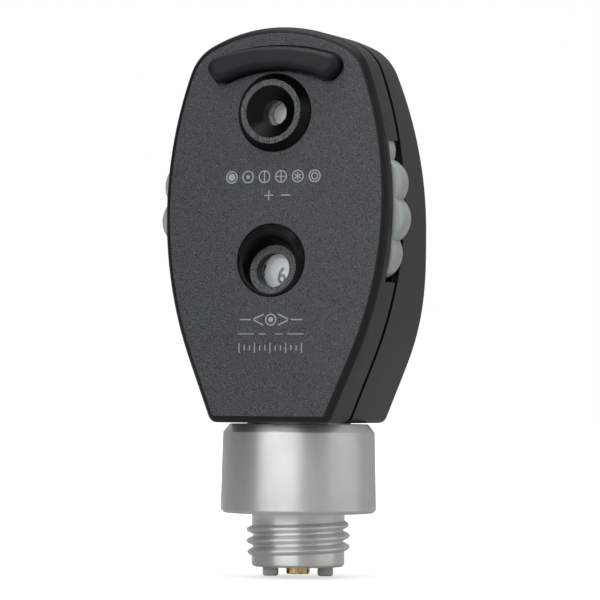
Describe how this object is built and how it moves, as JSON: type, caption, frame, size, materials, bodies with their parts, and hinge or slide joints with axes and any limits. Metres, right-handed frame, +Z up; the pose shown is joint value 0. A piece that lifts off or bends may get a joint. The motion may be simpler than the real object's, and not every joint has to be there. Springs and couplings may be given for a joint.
{
  "type": "direct ophthalmoscope head",
  "caption": "Head of a direct ophthalmoscope: lens wheel at the sight hole, dioptre read-out, aperture wheel, lamp and mirror, on a threaded neck with a sprung contact.",
  "frame": {"origin": "on the neck's axis, at the shoulder of the neck that seats on a handle", "axes": "+Z up along the neck towards the brow rest, -Y towards the examiner, +X to the examiner's right"},
  "size_m": [0.0352, 0.0225, 0.0735],
  "materials": {
    "housing_plastic": "fine spark-eroded texture",
    "black_plastic": "satin gloss",
    "black_rubber": "matt",
    "grip_plastic": "satin",
    "white_plastic": "satin",
    "post_plastic": "matt",
    "bright_steel": "turned",
    "satin_metal": "satin nickel",
    "aluminium": "as cast",
    "gold": "gold plated",
    "clear_glass": "polished",
    "green_glass": "polished",
    "mirror_glass": "front-surface mirror",
    "board_green": "solder resist",
    "led_yellow": "clear-yellow"
  },
  "bodies": {
    "head": {"front_cover": "housing_plastic", "rear_cover": "housing_plastic", "sight_eyepiece": "black_plastic", "dioptre_hood": "black_plastic", "lower_light_tube": "black_plastic", "upper_light_tube": "black_plastic", "mirror_holder": "black_plastic", "brow_rest": "black_rubber", "contact_insulator": "post_plastic", "housing_screw_right": "bright_steel", "housing_screw_left": "bright_steel", "housing_screw_top": "bright_steel", "wheel_axle": "bright_steel", "wheel_clip": "bright_steel", "detent_spring": "bright_steel", "spring_screw": "bright_steel", "aperture_axle": "bright_steel", "aperture_clip": "bright_steel", "contact_spring": "bright_steel", "collar": "satin_metal", "threaded_neck": "satin_metal", "chassis": "aluminium", "heat_sink": "aluminium", "upper_contact": "gold", "dioptre_window": "clear_glass", "condenser_lens": "clear_glass", "objective_lens": "clear_glass", "patient_window": "clear_glass", "mirror": "mirror_glass", "led_board": "board_green", "led": "led_yellow"},
    "lens_wheel": {"lens_disc": "white_plastic", "wheel_grip": "grip_plastic", "lens_plus_01": "clear_glass", "lens_plus_02": "clear_glass", "lens_plus_03": "clear_glass", "lens_plus_04": "clear_glass", "lens_plus_06": "clear_glass", "lens_plus_08": "clear_glass", "lens_plus_10": "clear_glass", "lens_plus_15": "clear_glass", "lens_plus_20": "clear_glass", "lens_minus_20": "clear_glass", "lens_minus_15": "clear_glass", "lens_minus_10": "clear_glass", "lens_minus_08": "clear_glass", "lens_minus_06": "clear_glass", "lens_minus_04": "clear_glass", "lens_minus_03": "clear_glass", "lens_minus_02": "clear_glass", "lens_minus_01": "clear_glass"},
    "aperture_wheel": {"aperture_disc": "black_plastic", "star_graticule": "clear_glass", "green_filter": "green_glass"},
    "contact": {"centre_contact": "gold"}
  },
  "joints": [
    {"name": "lens_wheel_turn", "type": "hinge", "parent": "head", "child": "lens_wheel", "pos_m": [0, -0.0053, 0.0405], "axis": [0, -1, 0], "continuous": true},
    {"name": "aperture_wheel_turn", "type": "hinge", "parent": "head", "child": "aperture_wheel", "pos_m": [0, 0.005, 0.0216], "axis": [0, 0, 1], "continuous": true},
    {"name": "contact_press", "type": "slide", "parent": "head", "child": "contact", "axis": [0, 0, 1], "range_m": [0, 0.0008], "stiffness_N_per_m": 150, "deforming": ["contact_spring"]}
  ]
}
